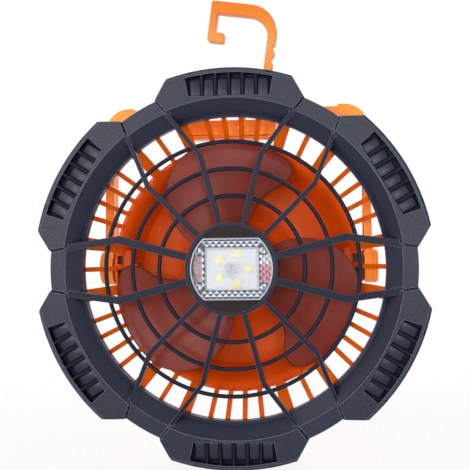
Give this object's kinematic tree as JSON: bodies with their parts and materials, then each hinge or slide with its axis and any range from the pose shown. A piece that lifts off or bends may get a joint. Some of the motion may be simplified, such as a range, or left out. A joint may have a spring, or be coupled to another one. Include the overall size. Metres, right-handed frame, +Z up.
{
  "type": "portable camping fan",
  "caption": "Portable fan with a lobed dark guard, web grille, centre lamp, smoky blades, slatted orange basket, tilting stand and hanging hook.",
  "frame": {"origin": "centre of the bounding box's base, under the spin axis, where the lowest lobe of the guard touches the ground plane", "axes": "+Z up towards the hook, -Y the way the fan blows and the lamp shines, +X to the right as seen from the front"},
  "size_m": [0.1958, 0.07, 0.2412],
  "materials": {
    "guard_black": "fine satin grain",
    "clear_lens": "clear moulded plastic with a prism border",
    "bright_reflector": "bright metallised plastic",
    "white_board": "white solder mask",
    "pale_yellow_led": "phosphor coating",
    "red_led": "tinted resin",
    "zinc_steel": "zinc plated",
    "smoky_blade": "smoky translucent",
    "motor_steel": "drawn can",
    "bronze_bush": "sintered bronze",
    "orange_shell": "satin moulded",
    "cell_wrap": "shrink sleeve",
    "dark_plastic": "moulded",
    "green_board": "solder mask",
    "button_dark": "fine grain",
    "orange_stand": "satin moulded",
    "washer_rubber": "plain",
    "orange_hook": "satin moulded"
  },
  "bodies": {
    "head": {"front_guard": "guard_black", "lamp_lens": "clear_lens", "lamp_reflector": "bright_reflector", "led_board": "white_board", "white_leds": "pale_yellow_led", "red_leds": "red_led", "lamp_back": "guard_black", "lamp_screws": "zinc_steel", "motor_can": "motor_steel", "motor_bush": "bronze_bush", "motor_screws": "zinc_steel", "rear_basket": "orange_shell", "guard_screws": "zinc_steel", "battery_cells": "cell_wrap", "battery_cradle": "dark_plastic", "main_board": "green_board", "button_switches": "dark_plastic", "usb_c_socket": "zinc_steel", "rear_cover": "orange_shell", "cover_screws": "zinc_steel", "indicator_lens": "clear_lens", "pivot_screws": "zinc_steel", "friction_washers": "washer_rubber"},
    "rotor": {"impeller": "smoky_blade", "motor_shaft": "zinc_steel"},
    "stand": {"stand_bracket": "orange_stand", "pivot_caps": "orange_stand", "hook_pin": "zinc_steel"},
    "hanging_hook": {"hook": "orange_hook"},
    "fan_key": {"fan_button": "button_dark"},
    "light_key": {"light_button": "button_dark"}
  },
  "joints": [
    {"name": "impeller_spin", "type": "hinge", "parent": "head", "child": "rotor", "pos_m": [0, 0, 0.1], "axis": [0, 1, 0], "continuous": true},
    {"name": "stand_tilt", "type": "hinge", "parent": "head", "child": "stand", "pos_m": [0, 0.004, 0.1], "axis": [-1, 0, 0], "range_deg": [0, 180]},
    {"name": "hook_swing", "type": "hinge", "parent": "stand", "child": "hanging_hook", "pos_m": [0.0125, 0.004, 0.1718], "axis": [0, 1, 0], "range_deg": [-45, 40]},
    {"name": "fan_button_press", "type": "slide", "parent": "head", "child": "fan_key", "axis": [0, -1, 0], "range_m": [0, 0.0008], "stiffness_N_per_m": 1500, "springref_m": -0.0004},
    {"name": "light_button_press", "type": "slide", "parent": "head", "child": "light_key", "axis": [0, -1, 0], "range_m": [0, 0.0008], "stiffness_N_per_m": 1500, "springref_m": -0.0004}
  ]
}
